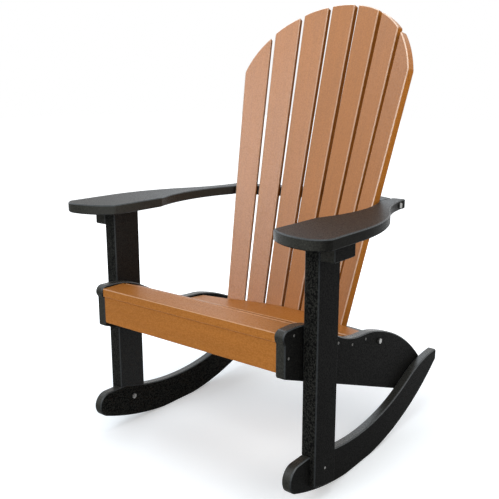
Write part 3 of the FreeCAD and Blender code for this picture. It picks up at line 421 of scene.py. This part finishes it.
# The black's edge colour is bluish, a painted highlight of the sky. Its fleck colour is mostly painted
# glints.
BLACK = {"body_colour": (0.0042, 0.0041, 0.004), "fleck_and_glint_colour": (0.06, 0.058, 0.048),
         "sawn_sheen_colour": (0.04, 0.038, 0.032), "edge_wear_and_highlight_colour": (0.075, 0.08, 0.082),
         "fleck_and_glint_share": 0.55, "fleck_size": 0.0029, "gloss": 0.42, "mirror": 0.12}
SHAPED = BLACK | {"sawn_to_shape": True}
CURVED = SHAPED | {"mirror": 0.3}
# A way shorter than one polishes its side only in part.
SEAT_POLISH = 0.3
FINISHES = {"seat": CEDAR, "front": CEDAR, "back": BACK, "arm_left": SHAPED, "arm_right": SHAPED,
            "side_rail": CURVED, "rocker": CURVED, "lower": SHAPED, "leg": BLACK, "arm_b": BLACK}

for name, (run, face) in boards.items():
    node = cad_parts[name]
    colours = next(finish for start, finish in FINISHES.items() if name.startswith(start))
    low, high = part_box(name)
    inward = Vector((-1 if low.x + high.x > 0 else 1, 0, 0))
    if colours is BACK:
        inward = face * (1 if face.y < 0 else -1)
    if colours is CEDAR:
        inward = -SEAT_POLISH * ALONG_Y
    ways = [ALONG_Z] if colours is CURVED else [inward, ALONG_Z]
    paint(node, lumber("lumber_" + name, node, run, face, ways, -inward, **colours))
print(len(boards), "boards painted")

# %% [markdown]
# ## Stainless steel
#
# The bolts and screws are plain stainless steel, turned and dulled by weather. Steel has no colour of its
# own under the surface, so the finish is all metal, with fine rings where the tool went round and small
# smudges that take off some of the shine.


# %% Define the steel finish
BARE_STEEL = (1, 0.98, 0.94)
SOILED_STEEL = (0.65, 0.63, 0.59)
RINGS_PER_METRE = 9000
RING_DEPTH = 0.0001
SMUDGE = (0.004, 0.004, 0.004)


def steel(name, centre, axis, brightness):
    """A finish for one fastener, whose turning marks run round its axis."""
    side = axis.orthogonal().normalized()
    turn = Matrix((axis, side, axis.cross(side))).transposed().to_euler()
    finish = bpy.data.materials.new(name)
    tree = Tree(finish)
    spot = tree.add("TexCoord", output="Object")
    own = tree.add("Mapping", {"vector_type": "TEXTURE"},
                   {"Vector": spot, "Location": centre, "Rotation": turn})
    across = tree.add("VectorMath", {"operation": "MULTIPLY"}, {0: own, 1: (0, 1, 1)})
    reach = tree.add("VectorMath", {"operation": "LENGTH"}, {0: across}, output="Value")
    rings = tree.add("TexNoise", {"noise_dimensions": "1D"},
                     {"W": reach * RINGS_PER_METRE, "Scale": 1, "Detail": 2})
    smudge = tree.noise(own, SMUDGE, detail=3)
    bare, soiled = ([brightness * part for part in tint] for tint in (BARE_STEEL, SOILED_STEEL))
    colour = tree.blend(smudge.above(0.35, 0.7), bare, soiled)
    bump = tree.add("Bump", {}, {"Strength": 0.25, "Distance": RING_DEPTH, "Height": rings})
    surface = tree.add("BsdfPrincipled", {}, {
        "Base Color": colour, "Metallic": 1.0, "Roughness": 0.26 + smudge * 0.2, "Normal": bump,
    })
    tree.add("OutputMaterial", {}, {"Surface": surface})
    return finish


# %% Finish the bolts and nuts
HEAD_BEVEL = 0.0004
BOLT_BRIGHTNESS = 0.3

for name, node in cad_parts.items():
    if name not in boards:
        low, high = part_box(name)
        paint(node, steel("steel_" + name, (low + high) / 2, ALONG_X, BOLT_BRIGHTNESS))
        node.modifiers.new("merge", "WELD")
        bevel = node.modifiers.new("eased_corners", "BEVEL")
        bevel.width = HEAD_BEVEL
        bevel.segments = 2
print(len(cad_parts) - len(boards), "bolts and nuts finished")

# %% [markdown]
# ## The screws
#
# Each board of the seat is held by a screw through the rail at each end, apart from the one whose screws
# the legs cover. Each slat of the back is held by one screw through the upper brace and one through the
# lower, and each arm's block has two from below. Only the heads are seen: low domes, under 7 mm across,
# with a square hole for the driver. So only the head is modelled. A short cylinder is the start, its top
# is inset twice and lifted to make the dome, and a square bar is taken out of it with a Boolean.


# %% Model one screw head
HEAD_RADIUS = 0.0033
HEAD_HEIGHT = 0.0009
DRIVE_SIDE = 0.0024
DRIVE_LIFT = 0.0008
SMOOTH_ANGLE = 40
DOME_STEPS = ((0.0007, 0.0004), (0.001, 0.0002))


def select_top(piece):
    """Select only the highest flat face, in edit mode."""
    shape = bmesh.from_edit_mesh(piece.data)
    highest = max(face.calc_center_median().z for face in shape.faces)
    for face in shape.faces:
        face.select_set(face.calc_center_median().z > highest - 1e-6)
    bmesh.update_edit_mesh(piece.data)


bpy.ops.object.select_all(action="DESELECT")
bpy.ops.mesh.primitive_cylinder_add(vertices=32, radius=HEAD_RADIUS, depth=HEAD_HEIGHT,
                                    location=(0, 0, HEAD_HEIGHT / 2))
screw = bpy.context.object
screw.name = "screw_pattern"
bpy.ops.object.mode_set(mode="EDIT")
for inset, lift in DOME_STEPS:
    select_top(screw)
    bpy.ops.mesh.inset(thickness=inset)
    bpy.ops.transform.translate(value=(0, 0, lift))
bpy.ops.object.mode_set(mode="OBJECT")

bpy.ops.object.select_all(action="DESELECT")
bpy.ops.mesh.primitive_cube_add(size=DRIVE_SIDE, location=(0, 0, HEAD_HEIGHT + DRIVE_LIFT))
driver = bpy.context.object

bpy.ops.object.select_all(action="DESELECT")
screw.select_set(True)
bpy.context.view_layer.objects.active = screw
cut = screw.modifiers.new("square_drive", "BOOLEAN")
cut.object = driver
cut.solver = "EXACT"
bpy.ops.object.modifier_apply(modifier=cut.name)
bpy.ops.object.transform_apply(location=True, rotation=True, scale=True)
bpy.ops.object.shade_smooth_by_angle(angle=math.radians(SMOOTH_ANGLE))
bpy.data.objects.remove(driver)
print("screw head:", len(screw.data.polygons), "faces,", round(screw.dimensions.z * 1000, 2), "mm high")

# %% [markdown]
# A screw sits on the board that it goes through. Its place is found as a hand would find it: from
# outside, straight towards the board, until the board's surface is met. The head then faces back along
# that line. On the lower brace, whose rear face is tilted, it therefore sinks in a little at one side.


# %% Drive the screws
SCREW_BRIGHTNESS = 0.13
REAR_SCREW = (-0.0105, 0.3116)
OUTSIDE_X = 0.4
OUTSIDE_REACH = 0.3
BLOCK_DROP = 0.05


def drive(name, board, start, inward):
    """Seat a copy of the screw head on a board, where a line from start, going inward, meets it."""
    met, place, _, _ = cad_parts[board].ray_cast(start, inward)
    if not met:
        raise ValueError(f"{name} misses {board}")
    head = screw.copy()
    head.data = screw.data.copy()
    head.name = name
    bpy.context.collection.objects.link(head)
    twist = Matrix.Rotation(dice.uniform(0, math.pi / 2), 4, "Z")
    aim = (-inward).to_track_quat("Z", "Y").to_matrix().to_4x4()
    head.data.transform(Matrix.Translation(place) @ aim @ twist)
    paint(head, steel("steel_" + name, place, -inward, SCREW_BRIGHTNESS))
    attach(head, "root")
    return place


# Which sign of X each side of the chair has, read from the frame.
SIDES = {"right": 1, "left": -1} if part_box("side_rail_right")[0].x > 0 else {"right": -1, "left": 1}
SEAT_SCREWS = (
    "front_apron", "seat_front_slat", "seat_slat_3", "seat_slat_4", "seat_slat_5", "seat_rear_board",
)
seated = []
for side, sign in SIDES.items():
    for board in SEAT_SCREWS:
        low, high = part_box(board)
        middle = (low + high) / 2
        if board == "seat_rear_board":
            middle.yz = REAR_SCREW
        middle.x = OUTSIDE_X * sign
        name = f"screw_{board}_{side}"
        seated.append(drive(name, f"side_rail_{side}", middle, Vector((-sign, 0, 0))))
    low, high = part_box(f"arm_block_{side}")
    for number in (1, 2):
        along = low.y + (high.y - low.y) * (0.05 + 0.3 * number)
        below = Vector(((low.x + high.x) / 2, along, low.z - BLOCK_DROP))
        seated.append(drive(f"screw_block_{side}_{number}", f"arm_block_{side}", below, ALONG_Z))
print(len(seated), "screws at the sides")

# %% Drive the screws of the back
FAN_AXIS_Y = -0.2995
BACK_SLATS = 7
FOOT_BAND = 0.05

for number in range(1, BACK_SLATS + 1):
    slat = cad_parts[f"back_slat_{number}"]
    run = boards[slat.name][0]
    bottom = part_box(slat.name)[0].z
    foot_corners = [vertex.co for vertex in slat.data.vertices if vertex.co.z < bottom + FOOT_BAND]
    foot = sum(foot_corners, Vector()) / len(foot_corners)
    for brace in ("arm_brace", "lower_back_brace"):
        low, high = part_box(brace)
        height = (low.z + high.z) / 2
        on_slat = foot + run * ((height - foot.z) / run.z)
        outward = Vector((on_slat.x, on_slat.y - FAN_AXIS_Y, 0)).normalized()
        start = on_slat + outward * OUTSIDE_REACH
        seated.append(drive(f"screw_{brace}_{number}", brace, start, -outward))
bpy.data.objects.remove(screw)
print(len(seated), "screws in all")

# %% Find the sizes of the finished scene
low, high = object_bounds()
